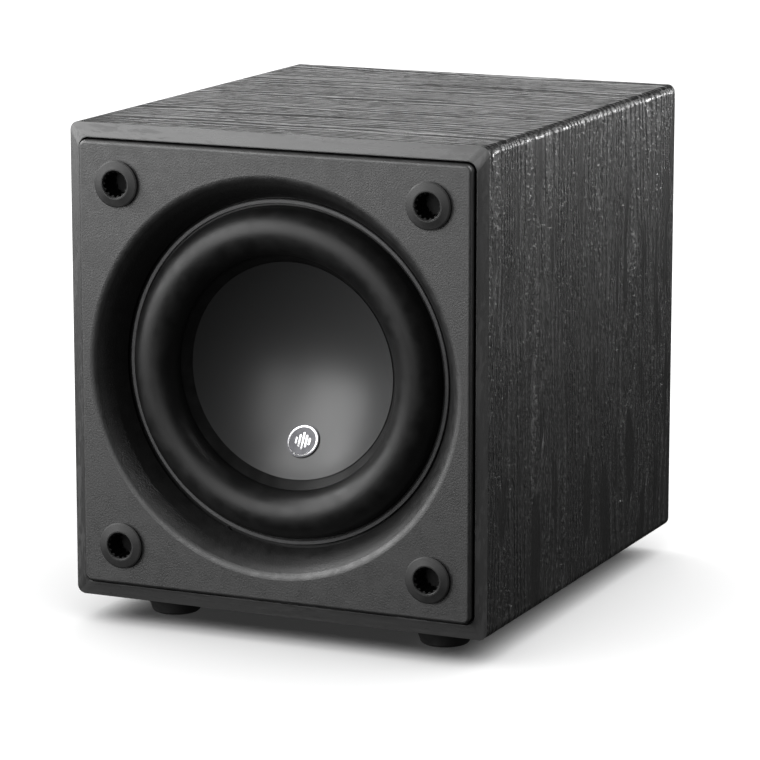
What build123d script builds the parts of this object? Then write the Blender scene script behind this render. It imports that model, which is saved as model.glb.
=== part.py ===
from build123d import *

import os
from math import asin, cos, pi, radians, sin, sqrt, tan

# A compact sealed, powered subwoofer: a veneered cabinet on four rubber feet, a thick front baffle with a
# shallow waveguide, one long-throw driver, and a plate amplifier let into the back.
# Millimetres, +Z up. The front looks along -Y. The origin is under the middle of the whole box, on the floor.
# Depths are counted backwards from the cabinet's front edge, and heights from the driver's axis, which is
# the middle of the cabinet.

# ---------------------------------------------------------------- driving dimensions
# Cabinet
cabinet_width = 312.0
cabinet_height = 334.6
cabinet_depth = 356.2
panel_thickness = 18.0
long_edge_radius = 6.0
foot_height = 19.0
brace_depth = 200.0
brace_thickness = 12.0
brace_window_width = 196.0
brace_window_height = 218.0
brace_window_radius = 30.0

# Front band and the pocket that the baffle sits in
pocket_side_inset = 8.0
pocket_top_inset = 10.0
pocket_depth = 15.5
pocket_corner_radius = 6.7
band_rise = 2.5
band_land = 0.6

# Front baffle
baffle_width = 292.6
baffle_height = 311.4
baffle_corner_radius = 5.0
baffle_edge_radius = 2.2
baffle_proud = 7.5
mouth_radius = 137.1
mouth_edge_radius = 6.0
throat_radius = 122.0
wall_middle = (128.4, 4.0)

# Grille sockets
socket_x = 116.3
socket_height = 127.1
socket_outer_radius = 16.2
socket_body_radius = 13.0
socket_bore_radius = 9.2
socket_proud = 11.5
socket_floor = 8.0
socket_back = 10.0

# Feet
foot_x = 104.0
foot_inset = 50.0
foot_top_radius = 22.0
foot_bottom_radius = 17.4
foot_recess_radius = 7.0
foot_recess_depth = 12.0
foot_screw_radius = 2.2
foot_screw_bite = 14.0
foot_screw_head = (5.2, 3.4)
foot_screw_hex = (2.4, 2.2)
foot_edge_radius = 2.6
foot_rim = 3.5

# Sub baffle
sub_baffle_thickness = 22.0
cutout_radius = 107.0
counterbore_radius = 129.5
baffle_screw_radius = 1.75
baffle_screw_tip = 3.5
baffle_screw_head = (3.8, 2.4)
baffle_screw_hex = (1.6, 1.4)
baffle_screw_points = [
    (side * x, level * z) for x, z in [(130.0, 98.0), (88.0, 138.0)] for side in (-1, 1) for level in (-1, 1)
]

# Driver
flange_depth = 20.0
flange_thickness = 6.5
flange_radius = 129.0
seal_thickness = 1.0
driver_screw_count = 8
driver_screw_circle = 125.3
driver_screw_radius = 1.75
driver_screw_length = 17.0
driver_screw_head = (3.2, 2.4)
driver_screw_hex = (1.7, 1.6)
screw_clearance = 0.4
roll_outer_radius = 116.0
roll_inner_radius = 82.0
roll_foot_depth = 18.5
roll_thickness = 1.4
landing_radius = 120.6
trim_inner_radius = 117.4
trim_outer_radius = 120.2
trim_thickness = 1.3
dish_edge_radius = 76.0
dish_edge_depth = 24.4
dish_sphere_radius = 104.0
dish_thickness = 2.6
dish_rim_step = 0.9
rim_radius = 78.0
coil_inner_radius = 31.6
former_wall = 0.5
former_front = 57.0
former_back = 131.0
neck_outer_radius = 35.0
neck_back = 62.0
winding_front = 99.0
winding_back = 129.0
winding_radius = 33.9
spider_depth = 86.0
spider_outer_radius = 78.0
spider_thickness = 0.8
spider_rolls = 5
seat_front = 104.0
seat_back = 109.0
plate_radius = 72.0
top_plate_bore = 34.6
top_plate_thickness = 10.0
magnet_radius = 78.0
magnet_bore = 42.0
magnet_thickness = 30.0
back_plate_thickness = 10.0
pole_radius = 31.0
vent_radius = 8.0
motor_screw_circle = 55.0
motor_screw_radius = 2.2
motor_screw_length = 12.0
motor_screw_head = (3.9, 2.6)
spoke_count = 6
window_half_angle = 20.0
badge_radius = 12.0
badge_drop = 53.0
badge_thickness = 1.2
terminal_shelf = 80.0

# Amplifier
amp_width = 200.0
amp_height = 250.0
amp_corner_radius = 6.0
amp_thickness = 3.0
amp_seal_thickness = 2.0
amp_gap = 0.3
amp_opening_width = 180.0
amp_opening_height = 230.0
amp_screw_radius = 1.8
amp_screw_clearance = 2.2
amp_screw_length = 16.0
amp_screw_head = (3.6, 2.2)
amp_screw_hex = (1.7, 1.5)
amp_screw_points = [(side * 95.0, level * 120.0) for side in (-1, 1) for level in (-1, 1)]
amp_screw_points += [(side * 95.0, level * 40.0) for side in (-1, 1) for level in (-1, 1)]
amp_screw_points += [(0.0, 120.0), (0.0, -120.0)]
post_points = [(side * 76.0, level * 96.0) for side in (-1, 1) for level in (-1, 1)]
board_width = 165.0
board_height = 205.0
board_thickness = 1.6
board_stand_off = 22.0
post_radius = 3.5

# Controls and sockets on the amplifier, as places on the plate
level_place = (55.0, 85.0)
lowpass_place = (5.0, 85.0)
switch_places = {"filter_switch": (55.0, 48.0), "polarity_switch": (15.0, 48.0), "power_mode_switch": (-25.0, 48.0)}
jack_places = [(-58.0, 48.0), (-80.0, 48.0)]
led_place = (-60.0, 90.0)
inlet_place = (48.0, -88.0)
rocker_place = (-20.0, -88.0)
sink_place = (0.0, -14.0)
knob_radius = 8.5
knob_length = 11.0
knob_gap = 1.0
shaft_radius = 3.0
running_gap = 0.05
switch_travel = 4.0

# ---------------------------------------------------------------- worked out from those
rear_overhang = knob_gap + knob_length
front_edge_y = (socket_proud - cabinet_depth - rear_overhang) / 2
axis_z = foot_height + cabinet_height / 2
inner_width = cabinet_width - 2 * panel_thickness
inner_height = cabinet_height - 2 * panel_thickness
pocket_width = cabinet_width - 2 * pocket_side_inset
pocket_height = cabinet_height - 2 * pocket_top_inset
counterbore_floor = flange_depth + flange_thickness + seal_thickness
sub_baffle_back = pocket_depth + sub_baffle_thickness
former_radius = coil_inner_radius + former_wall
plate_front = cabinet_depth - amp_thickness
seal_front = plate_front - amp_seal_thickness
board_back = plate_front - board_stand_off
board_front = board_back - board_thickness
dish_centre_depth = dish_edge_depth - sqrt(dish_sphere_radius**2 - dish_edge_radius**2)


def upright(depth, x=0.0, height=0.0):
    """An upright plane facing forwards, at this depth, its local Y pointing up."""
    return Plane(origin=(x, front_edge_y + depth, axis_z + height), x_dir=(1, 0, 0), z_dir=(0, -1, 0))


def section(x=0.0, height=0.0):
    """A level plane through an axis that runs front to back. Local X is the radius, local Y the depth."""
    return Plane(origin=(x, front_edge_y, axis_z + height), x_dir=(1, 0, 0), z_dir=(0, 0, 1))


def axis_at(x=0.0, height=0.0):
    return Axis((x, front_edge_y, axis_z + height), (0, 1, 0))


def lift(radius, sphere_radius):
    """Depth of a sphere about the dish's centre, at this radius from the driver's axis."""
    return dish_centre_depth + sqrt(sphere_radius**2 - radius**2)


def driver_screw_ring():
    return PolarLocations(driver_screw_circle, driver_screw_count, start_angle=180 / driver_screw_count)


def save(piece, label):
    piece.part.label = label
    export_step(piece.part, f"parts/{label}.step")


# ---------------------------------------------------------------- cabinet
# The wrap is one mitred box. Its front edge rises to a narrow sloping band round the baffle's pocket.
with BuildPart() as cabinet_wrap:
    with BuildSketch(upright(0)):
        RectangleRounded(cabinet_width, cabinet_height, long_edge_radius)
    extrude(amount=-cabinet_depth)
    with BuildSketch(upright(0)):
        RectangleRounded(cabinet_width, cabinet_height, long_edge_radius)
    with BuildSketch(upright(-band_rise)):
        RectangleRounded(
            pocket_width + 2 * band_land,
            pocket_height + 2 * band_land,
            pocket_corner_radius + band_land,
        )
    loft(ruled=True)
    with BuildSketch(upright(-band_rise - 1)):
        RectangleRounded(pocket_width, pocket_height, pocket_corner_radius)
    extrude(amount=-(pocket_depth + band_rise + 1), mode=Mode.SUBTRACT)
    with BuildSketch(upright(0)):
        Rectangle(inner_width, inner_height)
    extrude(amount=-(cabinet_depth + 1), mode=Mode.SUBTRACT)

half_width = cabinet_width / 2
half_height = cabinet_height / 2
foot_places = [
    (side * foot_x, front_edge_y + depth)
    for depth in (foot_inset, cabinet_depth - foot_inset)
    for side in (-1, 1)
]


def mitre_corner(side, level, reach):
    """A point on the mitre through a corner of the wrap, this far outside it."""
    return (side * (half_width + reach), level * (half_height + reach))


outside = 5.0
inside = -40.0
panel_outlines = {
    "top_panel": [(-1, 1), (1, 1)],
    "bottom_panel": [(-1, -1), (1, -1)],
    "left_side_panel": [(-1, -1), (-1, 1)],
    "right_side_panel": [(1, -1), (1, 1)],
}
for label, (first, last) in panel_outlines.items():
    with BuildPart() as panel:
        add(cabinet_wrap.part)
        with BuildSketch(upright(-band_rise - 1)):
            Polygon(
                mitre_corner(*first, outside),
                mitre_corner(*last, outside),
                mitre_corner(*last, inside),
                mitre_corner(*first, inside),
                align=None,
            )
        extrude(amount=-(cabinet_depth + band_rise + 2), mode=Mode.INTERSECT)
        if label == "bottom_panel":
            with BuildSketch(Plane.XY.offset(foot_height)):
                with Locations(*foot_places):
                    Circle(foot_screw_radius)
            extrude(amount=foot_screw_bite, mode=Mode.SUBTRACT)
    save(panel, label)

with BuildPart() as rear_panel:
    with BuildSketch(upright(cabinet_depth - panel_thickness)):
        Rectangle(inner_width, inner_height)
        RectangleRounded(amp_opening_width, amp_opening_height, amp_corner_radius, mode=Mode.SUBTRACT)
    extrude(amount=-panel_thickness)
    with BuildSketch(upright(seal_front)):
        RectangleRounded(amp_width + 2 * amp_gap, amp_height + 2 * amp_gap, amp_corner_radius + amp_gap)
    extrude(amount=-(cabinet_depth - seal_front + 1), mode=Mode.SUBTRACT)
    with BuildSketch(upright(seal_front)):
        with Locations(*amp_screw_points):
            Circle(amp_screw_radius)
    extrude(amount=amp_screw_length - amp_thickness - amp_seal_thickness, mode=Mode.SUBTRACT)
save(rear_panel, "rear_panel")

with BuildPart() as window_brace:
    with BuildSketch(upright(brace_depth)):
        Rectangle(inner_width, inner_height)
        RectangleRounded(brace_window_width, brace_window_height, brace_window_radius, mode=Mode.SUBTRACT)
    extrude(amount=-brace_thickness)
save(window_brace, "window_brace")

with BuildPart() as sub_baffle:
    with BuildSketch(upright(pocket_depth)):
        Rectangle(inner_width, inner_height)
        Circle(cutout_radius, mode=Mode.SUBTRACT)
    extrude(amount=-sub_baffle_thickness)
    with BuildSketch(upright(pocket_depth)):
        Circle(counterbore_radius)
    extrude(amount=-(counterbore_floor - pocket_depth), mode=Mode.SUBTRACT)
    with BuildSketch(upright(pocket_depth)):
        with Locations(*baffle_screw_points):
            Circle(baffle_screw_radius)
        with driver_screw_ring():
            Circle(driver_screw_radius)
    extrude(amount=-sub_baffle_thickness, mode=Mode.SUBTRACT)
save(sub_baffle, "sub_baffle")

# ---------------------------------------------------------------- front baffle, its screws and the grille sockets
socket_places = {
    f"grille_socket_{row}_{column}": (side * socket_x, level * socket_height)
    for row, level in (("upper", 1), ("lower", -1))
    for column, side in (("left", -1), ("right", 1))
}

with BuildPart() as front_baffle:
    with BuildSketch(upright(pocket_depth)):
        RectangleRounded(baffle_width, baffle_height, baffle_corner_radius)
    extrude(amount=pocket_depth + baffle_proud)
    fillet(front_baffle.faces().sort_by(Axis.Y)[0].edges(), baffle_edge_radius)
    with BuildSketch(section()):
        with BuildLine():
            Polyline(
                (throat_radius, pocket_depth),
                (throat_radius, pocket_depth + 1),
                (0, pocket_depth + 1),
                (0, -baffle_proud - 1),
                (mouth_radius, -baffle_proud - 1),
                (mouth_radius, -baffle_proud),
            )
            ThreePointArc((mouth_radius, -baffle_proud), wall_middle, (throat_radius, pocket_depth))
        make_face()
    revolve(axis=axis_at(), mode=Mode.SUBTRACT)
    mouth_edges = front_baffle.faces().sort_by(Axis.Y)[0].edges().filter_by(GeomType.CIRCLE)
    fillet(mouth_edges.sort_by(SortBy.LENGTH)[-1:], mouth_edge_radius)
    with BuildSketch(upright(-baffle_proud)):
        with Locations(*socket_places.values()):
            Circle(socket_body_radius)
    extrude(amount=-(pocket_depth + baffle_proud), mode=Mode.SUBTRACT)
    with BuildSketch(upright(pocket_depth)):
        with Locations(*baffle_screw_points):
            Circle(baffle_screw_radius)
    extrude(amount=pocket_depth - baffle_screw_tip, mode=Mode.SUBTRACT)
save(front_baffle, "front_baffle")

with BuildPart() as baffle_screws:
    with BuildSketch(upright(sub_baffle_back)):
        with Locations(*baffle_screw_points):
            Circle(baffle_screw_radius)
    extrude(amount=sub_baffle_back - baffle_screw_tip)
    with BuildSketch(upright(sub_baffle_back)):
        with Locations(*baffle_screw_points):
            Circle(baffle_screw_head[0])
    extrude(amount=-baffle_screw_head[1])
    with BuildSketch(upright(sub_baffle_back + baffle_screw_head[1])):
        with Locations(*baffle_screw_points):
            RegularPolygon(baffle_screw_hex[0], 6)
    extrude(amount=baffle_screw_hex[1], mode=Mode.SUBTRACT)
save(baffle_screws, "baffle_screws")

# Each socket is a rubber grommet: a proud collar, slightly waisted where it meets the baffle, and a blind bore.
for label, (x, height) in socket_places.items():
    with BuildPart() as grille_socket:
        with BuildSketch(section(x, height)):
            with BuildLine():
                rim = -socket_proud
                Polyline(
                    (0, socket_floor),
                    (socket_bore_radius, socket_floor),
                    (socket_bore_radius, rim + 0.6),
                    (socket_bore_radius + 0.6, rim),
                    (socket_bore_radius + 1.4, rim),
                    (socket_outer_radius - 0.9, rim + 1.2),
                    (socket_outer_radius, rim + 1.7),
                    (socket_outer_radius - 0.6, -baffle_proud),
                    (socket_body_radius, -baffle_proud),
                    (socket_body_radius, socket_back),
                    (0, socket_back),
                    close=True,
                )
            make_face()
        revolve(axis=axis_at(x, height))
    save(grille_socket, label)

# ---------------------------------------------------------------- feet
for label, (x, y) in zip(["front_left", "front_right", "rear_left", "rear_right"], foot_places):
    with BuildPart() as foot:
        with BuildSketch(Plane(origin=(x, y, 0), x_dir=(1, 0, 0), z_dir=(0, -1, 0))):
            with BuildLine():
                Polyline(
                    (foot_bottom_radius - foot_edge_radius, 0),
                    (foot_recess_radius, 0),
                    (foot_recess_radius, foot_recess_depth),
                    (foot_screw_radius + screw_clearance, foot_recess_depth),
                    (foot_screw_radius + screw_clearance, foot_height),
                    (foot_top_radius, foot_height),
                    (foot_top_radius, foot_height - foot_rim),
                    (foot_bottom_radius, foot_edge_radius),
                )
                RadiusArc(
                    (foot_bottom_radius, foot_edge_radius),
                    (foot_bottom_radius - foot_edge_radius, 0),
                    1.08 * foot_edge_radius,
                )
            make_face()
        revolve(axis=Axis((x, y, 0), (0, 0, 1)))
    save(foot, f"foot_{label}")

with BuildPart() as foot_screws:
    with BuildSketch(Plane.XY.offset(foot_recess_depth)):
        with Locations(*foot_places):
            Circle(foot_screw_radius)
    extrude(amount=foot_height - foot_recess_depth + foot_screw_bite)
    with BuildSketch(Plane.XY.offset(foot_recess_depth)):
        with Locations(*foot_places):
            Circle(foot_screw_head[0])
    extrude(amount=-foot_screw_head[1])
    with BuildSketch(Plane.XY.offset(foot_recess_depth - foot_screw_head[1])):
        with Locations(*foot_places):
            RegularPolygon(foot_screw_hex[0], 6)
    extrude(amount=foot_screw_hex[1], mode=Mode.SUBTRACT)
save(foot_screws, "foot_screws")

# ---------------------------------------------------------------- driver frame
flange_back = flange_depth + flange_thickness
with BuildPart() as driver_frame:
    with BuildSketch(section()):
        with BuildLine():
            Polyline(
                (flange_radius, flange_depth),
                (104.6, flange_depth),
                (100.5, 34.0),
                (79.4, 80.0),
                (spider_outer_radius + 0.5, spider_depth),
                (70.0, spider_depth),
                (70.0, spider_depth + 4),
                (73.5, spider_depth + 4),
                (73.5, seat_front),
                (36.0, seat_front),
                (36.0, seat_back),
                (77.5, seat_back),
                (77.5, spider_depth + 9),
                (82.0, spider_depth + 5),
                (83.6, 80.0),
                (104.6, 34.0),
                (106.0, flange_back),
                (flange_radius, flange_back),
                close=True,
            )
        make_face()
    revolve(axis=axis_at())
    for near, far, front, back in ((55, 130, 38.0, 78.0), (60, 92, spider_depth + 6, seat_front - 1)):
        near_half = near * tan(radians(window_half_angle))
        far_half = far * tan(radians(window_half_angle))
        with BuildSketch(upright(front)):
            with PolarLocations(0, spoke_count, start_angle=30):
                Polygon((near, -near_half), (far, -far_half), (far, far_half), (near, near_half), align=None)
        extrude(amount=-(back - front), mode=Mode.SUBTRACT)
    with BuildSketch(upright(flange_depth)):
        with driver_screw_ring():
            Circle(driver_screw_radius + screw_clearance)
    extrude(amount=-flange_thickness, mode=Mode.SUBTRACT)
    with BuildSketch(upright(seat_front)):
        with PolarLocations(motor_screw_circle, spoke_count):
            Circle(motor_screw_radius)
    extrude(amount=-(seat_back - seat_front), mode=Mode.SUBTRACT)
    with BuildSketch(upright(78.0)):
        with Locations((0, -terminal_shelf - 10)):
            Rectangle(40, 20)
    extrude(amount=-16, mode=Mode.SUBTRACT)
save(driver_frame, "driver_frame")

with BuildPart() as driver_seal:
    with BuildSketch(upright(flange_back)):
        Circle(flange_radius - 0.5)
        Circle(cutout_radius + 1, mode=Mode.SUBTRACT)
        with driver_screw_ring():
            Circle(driver_screw_radius + screw_clearance, mode=Mode.SUBTRACT)
    extrude(amount=-seal_thickness)
save(driver_seal, "driver_seal")

with BuildPart() as driver_screws:
    with BuildSketch(upright(flange_depth)):
        with driver_screw_ring():
            Circle(driver_screw_radius)
    extrude(amount=-driver_screw_length)
    with BuildSketch(upright(flange_depth)):
        with driver_screw_ring():
            Circle(driver_screw_head[0])
    extrude(amount=driver_screw_head[1])
    with BuildSketch(upright(flange_depth - driver_screw_head[1])):
        with driver_screw_ring():
            RegularPolygon(driver_screw_hex[0], 6)
    extrude(amount=-driver_screw_hex[1], mode=Mode.SUBTRACT)
save(driver_screws, "driver_screws")

# ---------------------------------------------------------------- surround, trim ring, cone, badge
roll_centre = (roll_outer_radius + roll_inner_radius) / 2
roll_radius = (roll_outer_radius - roll_inner_radius) / 2
back_roll_radius = roll_radius - roll_thickness
lip_depth = dish_edge_depth + dish_rim_step
lip_run = (dish_edge_radius - roll_inner_radius, lip_depth - roll_foot_depth)
lip_length = sqrt(lip_run[0] ** 2 + lip_run[1] ** 2)
lip_back = (roll_thickness * lip_run[1] / lip_length, -roll_thickness * lip_run[0] / lip_length)
lip_outer_back = (roll_inner_radius + lip_back[0], roll_foot_depth + lip_back[1])
lip_inner_back = (dish_edge_radius + lip_back[0], lip_depth + lip_back[1])

with BuildPart() as surround:
    with BuildSketch(section()):
        with BuildLine():
            ThreePointArc(
                (roll_outer_radius, roll_foot_depth),
                (roll_centre, roll_foot_depth - roll_radius),
                (roll_inner_radius, roll_foot_depth),
            )
            Polyline(
                (roll_inner_radius, roll_foot_depth),
                (dish_edge_radius, lip_depth),
                lip_inner_back,
                lip_outer_back,
                (roll_centre - back_roll_radius, roll_foot_depth),
            )
            ThreePointArc(
                (roll_centre - back_roll_radius, roll_foot_depth),
                (roll_centre, roll_foot_depth - back_roll_radius),
                (roll_centre + back_roll_radius, roll_foot_depth),
            )
            Polyline(
                (roll_centre + back_roll_radius, roll_foot_depth),
                (roll_centre + back_roll_radius, flange_depth),
                (landing_radius, flange_depth),
                (landing_radius, roll_foot_depth),
                (roll_outer_radius, roll_foot_depth),
            )
        make_face()
    revolve(axis=axis_at())
save(surround, "surround")

with BuildPart() as trim_ring:
    with BuildSketch(upright(roll_foot_depth)):
        Circle(trim_outer_radius)
        Circle(trim_inner_radius, mode=Mode.SUBTRACT)
    extrude(amount=trim_thickness)
    chamfer(trim_ring.faces().sort_by(Axis.Y)[0].edges(), 0.35)
save(trim_ring, "trim_ring")

# The cone is a dish, concave to the front, on a short neck that the coil former is glued into.
dish_back_radius = dish_sphere_radius + dish_thickness
neck_foot_radius = neck_outer_radius + 3
with BuildPart() as cone:
    with BuildSketch(section()):
        with BuildLine():
            ThreePointArc(
                (0, lift(0, dish_sphere_radius)),
                (dish_edge_radius / 2, lift(dish_edge_radius / 2, dish_sphere_radius)),
                (dish_edge_radius, dish_edge_depth),
            )
            Polyline(
                (dish_edge_radius, dish_edge_depth),
                (dish_edge_radius, lip_depth),
                lip_inner_back,
                lip_outer_back,
                (lip_outer_back[0] + 1.5, lip_outer_back[1] + 1.4),
                (rim_radius, lift(rim_radius, dish_back_radius)),
            )
            ThreePointArc(
                (rim_radius, lift(rim_radius, dish_back_radius)),
                (rim_radius * 0.75, lift(rim_radius * 0.75, dish_back_radius)),
                (neck_foot_radius, lift(neck_foot_radius, dish_back_radius)),
            )
            Polyline(
                (neck_foot_radius, lift(neck_foot_radius, dish_back_radius)),
                (neck_outer_radius, neck_back - 4),
                (neck_outer_radius, neck_back),
                (former_radius, neck_back),
                (former_radius, lift(former_radius, dish_back_radius)),
            )
            ThreePointArc(
                (former_radius, lift(former_radius, dish_back_radius)),
                (former_radius / 2, lift(former_radius / 2, dish_back_radius)),
                (0, lift(0, dish_back_radius)),
            )
            Line((0, lift(0, dish_back_radius)), (0, lift(0, dish_sphere_radius)))
        make_face()
    revolve(axis=axis_at())
save(cone, "cone")

badge_lean = asin(badge_drop / dish_sphere_radius)
badge_plane = Plane(
    origin=(0, front_edge_y + dish_centre_depth, axis_z),
    x_dir=(1, 0, 0),
    z_dir=(0, cos(badge_lean), -sin(badge_lean)),
)
with BuildPart(badge_plane) as cone_badge:
    Cylinder(badge_radius, dish_sphere_radius + 5, align=(Align.CENTER, Align.CENTER, Align.MIN))
    Sphere(dish_sphere_radius, mode=Mode.INTERSECT)
    Sphere(dish_sphere_radius - badge_thickness, mode=Mode.SUBTRACT)
save(cone_badge, "cone_badge")

# ---------------------------------------------------------------- voice coil, spider and leads
with BuildPart() as coil_former:
    with BuildSketch(upright(former_front)):
        Circle(former_radius)
        Circle(coil_inner_radius, mode=Mode.SUBTRACT)
    extrude(amount=-(former_back - former_front))
save(coil_former, "coil_former")

with BuildPart() as voice_coil:
    with BuildSketch(upright(winding_front)):
        Circle(winding_radius)
        Circle(former_radius, mode=Mode.SUBTRACT)
    extrude(amount=-(winding_back - winding_front))
save(voice_coil, "voice_coil")

# The spider's corrugations are alternate half rolls between its glued rims.
roll_start = 69.0
roll_end = 37.0
half_roll = (roll_start - roll_end) / (2 * spider_rolls)
front_face = spider_depth - spider_thickness
with BuildPart() as spider:
    with BuildSketch(section()):
        with BuildLine():
            Line((spider_outer_radius, front_face), (roll_start, front_face))
            for step in range(2 * spider_rolls):
                crest = -1 if step % 2 else 1
                start = roll_start - step * half_roll
                middle = (start - half_roll / 2, front_face - crest * 1.5)
                ThreePointArc((start, front_face), middle, (start - half_roll, front_face))
            Polyline(
                (roll_end, front_face),
                (former_radius, front_face),
                (former_radius, spider_depth),
                (roll_end, spider_depth),
            )
            for step in range(2 * spider_rolls):
                crest = 1 if step % 2 else -1
                start = roll_end + step * half_roll
                middle = (start + half_roll / 2, spider_depth - crest * 1.5)
                ThreePointArc((start, spider_depth), middle, (start + half_roll, spider_depth))
            Polyline(
                (roll_start, spider_depth),
                (spider_outer_radius, spider_depth),
                (spider_outer_radius, front_face),
            )
        make_face()
    revolve(axis=axis_at())
save(spider, "spider")


def cable_path(points):
    """Straight runs joined by tangent arcs, each as large as its two runs allow. Points are x, depth, height."""
    corners = [Vector(x, front_edge_y + depth, axis_z + height) for x, depth, height in points]
    radii = []
    for before, here, after in zip(corners, corners[1:], corners[2:]):
        turn = radians((here - before).get_angle(after - here))
        shorter = min((here - before).length, (after - here).length)
        radii.append(0.45 * shorter / tan(turn / 2))
    print("cable radii", [round(r) for r in radii])
    return corners, radii


def cable(points, radius):
    """A solid cable along a path, as a part to add."""
    corners, radii = cable_path(points)
    with BuildPart() as tube:
        with BuildLine() as path:
            FilletPolyline(*corners, radius=radii)
        route = path.wires()[0]
        with BuildSketch(Plane(origin=route @ 0, z_dir=route % 0)):
            Circle(radius)
        sweep(path=route)
    print("cable volume over section times length", tube.part.volume / (pi * radius**2 * route.length))
    return tube.part


block_front = 80.5
block_back = 92.0
tinsel_radius = 0.8
tinsel_routes = [
    [
        (side * 6.0, block_front, -84.0),
        (side * 6.0, 74.0, -84.0),
        (side * 5.8, 68.0, -74.0),
        (side * 5.4, 68.5, -62.0),
        (side * 5.0, 73.0, -51.0),
        (side * 4.6, 72.0, -40.5),
        (side * 4.5, 68.0, former_radius * -1 + 0.1),
    ]
    for side in (-1, 1)
]
tinsel_tubes = [cable(route, tinsel_radius) for route in tinsel_routes]
with BuildPart() as tinsel_leads:
    for tube in tinsel_tubes:
        add(tube)
    with BuildSketch(upright(50.0)):
        Circle(former_radius)
    extrude(amount=-30, mode=Mode.SUBTRACT)
save(tinsel_leads, "tinsel_leads")

with BuildPart() as terminal_block:
    with BuildSketch(upright(block_front)):
        with Locations((0, -terminal_shelf - 5)):
            Rectangle(26, 10)
    extrude(amount=-(block_back - block_front))
    chamfer(terminal_block.edges().filter_by(Axis.Y), 1.2)
save(terminal_block, "terminal_block")

# ---------------------------------------------------------------- motor
with BuildPart() as top_plate:
    with BuildSketch(upright(seat_back)):
        Circle(plate_radius)
        Circle(top_plate_bore, mode=Mode.SUBTRACT)
        with PolarLocations(motor_screw_circle, spoke_count):
            Circle(motor_screw_radius, mode=Mode.SUBTRACT)
    extrude(amount=-top_plate_thickness)
    chamfer(top_plate.edges().filter_by(GeomType.CIRCLE).sort_by(SortBy.LENGTH)[-2:], 1.0)
save(top_plate, "top_plate")

with BuildPart() as motor_screws:
    with BuildSketch(upright(seat_front)):
        with PolarLocations(motor_screw_circle, spoke_count):
            Circle(motor_screw_radius)
    extrude(amount=-motor_screw_length)
    with BuildSketch(upright(seat_front)):
        with PolarLocations(motor_screw_circle, spoke_count):
            Circle(motor_screw_head[0])
    extrude(amount=motor_screw_head[1])
save(motor_screws, "motor_screws")

magnet_front = seat_back + top_plate_thickness
magnet_back = magnet_front + magnet_thickness
with BuildPart() as magnet:
    with BuildSketch(upright(magnet_front)):
        Circle(magnet_radius)
        Circle(magnet_bore, mode=Mode.SUBTRACT)
    extrude(amount=-magnet_thickness)
    chamfer(magnet.edges().filter_by(GeomType.CIRCLE).sort_by(SortBy.LENGTH)[-2:], 1.2)
save(magnet, "magnet")

with BuildPart() as back_plate:
    with BuildSketch(upright(magnet_back)):
        Circle(plate_radius)
    extrude(amount=-back_plate_thickness)
    with BuildSketch(upright(magnet_back)):
        Circle(pole_radius)
    extrude(amount=magnet_back - seat_back)
    with BuildSketch(upright(seat_back)):
        Circle(vent_radius)
    extrude(amount=-(magnet_back - seat_back + back_plate_thickness), mode=Mode.SUBTRACT)
    chamfer(back_plate.faces().sort_by(Axis.Y)[-1].edges(), 1.0)
save(back_plate, "back_plate")

# ---------------------------------------------------------------- amplifier plate and its seal, screws and heat sink
inlet_body = (27.6, 19.6)
rocker_body = (12.8, 19.8)
slot_length = 3.0 + switch_travel + 0.6
slot_height = 3.4
with BuildPart() as amp_plate:
    with BuildSketch(upright(plate_front)):
        RectangleRounded(amp_width, amp_height, amp_corner_radius)
        with Locations(*amp_screw_points):
            Circle(amp_screw_clearance, mode=Mode.SUBTRACT)
        with Locations(level_place, lowpass_place):
            Circle(3.6, mode=Mode.SUBTRACT)
        with Locations(*switch_places.values()):
            Rectangle(slot_length, slot_height, mode=Mode.SUBTRACT)
        with Locations(*jack_places):
            Circle(4.6, mode=Mode.SUBTRACT)
        with Locations(led_place):
            Circle(1.6, mode=Mode.SUBTRACT)
        with Locations(inlet_place):
            Rectangle(*inlet_body, mode=Mode.SUBTRACT)
        with Locations(rocker_place):
            Rectangle(*rocker_body, mode=Mode.SUBTRACT)
    extrude(amount=-amp_thickness)
save(amp_plate, "amp_plate")

with BuildPart() as board_posts:
    with BuildSketch(upright(plate_front)):
        with Locations(*post_points):
            RegularPolygon(post_radius, 6)
    extrude(amount=board_stand_off)
save(board_posts, "board_posts")

with BuildPart() as amp_seal:
    with BuildSketch(upright(seal_front)):
        RectangleRounded(amp_width, amp_height, amp_corner_radius)
        Rectangle(amp_opening_width + 2, amp_opening_height + 2, mode=Mode.SUBTRACT)
        with Locations(*amp_screw_points):
            Circle(amp_screw_clearance, mode=Mode.SUBTRACT)
    extrude(amount=-amp_seal_thickness)
save(amp_seal, "amp_seal")

with BuildPart() as amp_screws:
    with BuildSketch(upright(cabinet_depth)):
        with Locations(*amp_screw_points):
            Circle(amp_screw_radius)
    extrude(amount=amp_screw_length)
    with BuildSketch(upright(cabinet_depth)):
        with Locations(*amp_screw_points):
            Circle(amp_screw_head[0])
    extrude(amount=-amp_screw_head[1])
    chamfer(amp_screws.faces().filter_by(Axis.Y).group_by(Axis.Y)[-1].edges(), 0.5)
    with BuildSketch(upright(cabinet_depth + amp_screw_head[1])):
        with Locations(*amp_screw_points):
            RegularPolygon(amp_screw_hex[0], 6)
    extrude(amount=amp_screw_hex[1], mode=Mode.SUBTRACT)
save(amp_screws, "amp_screws")

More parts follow.
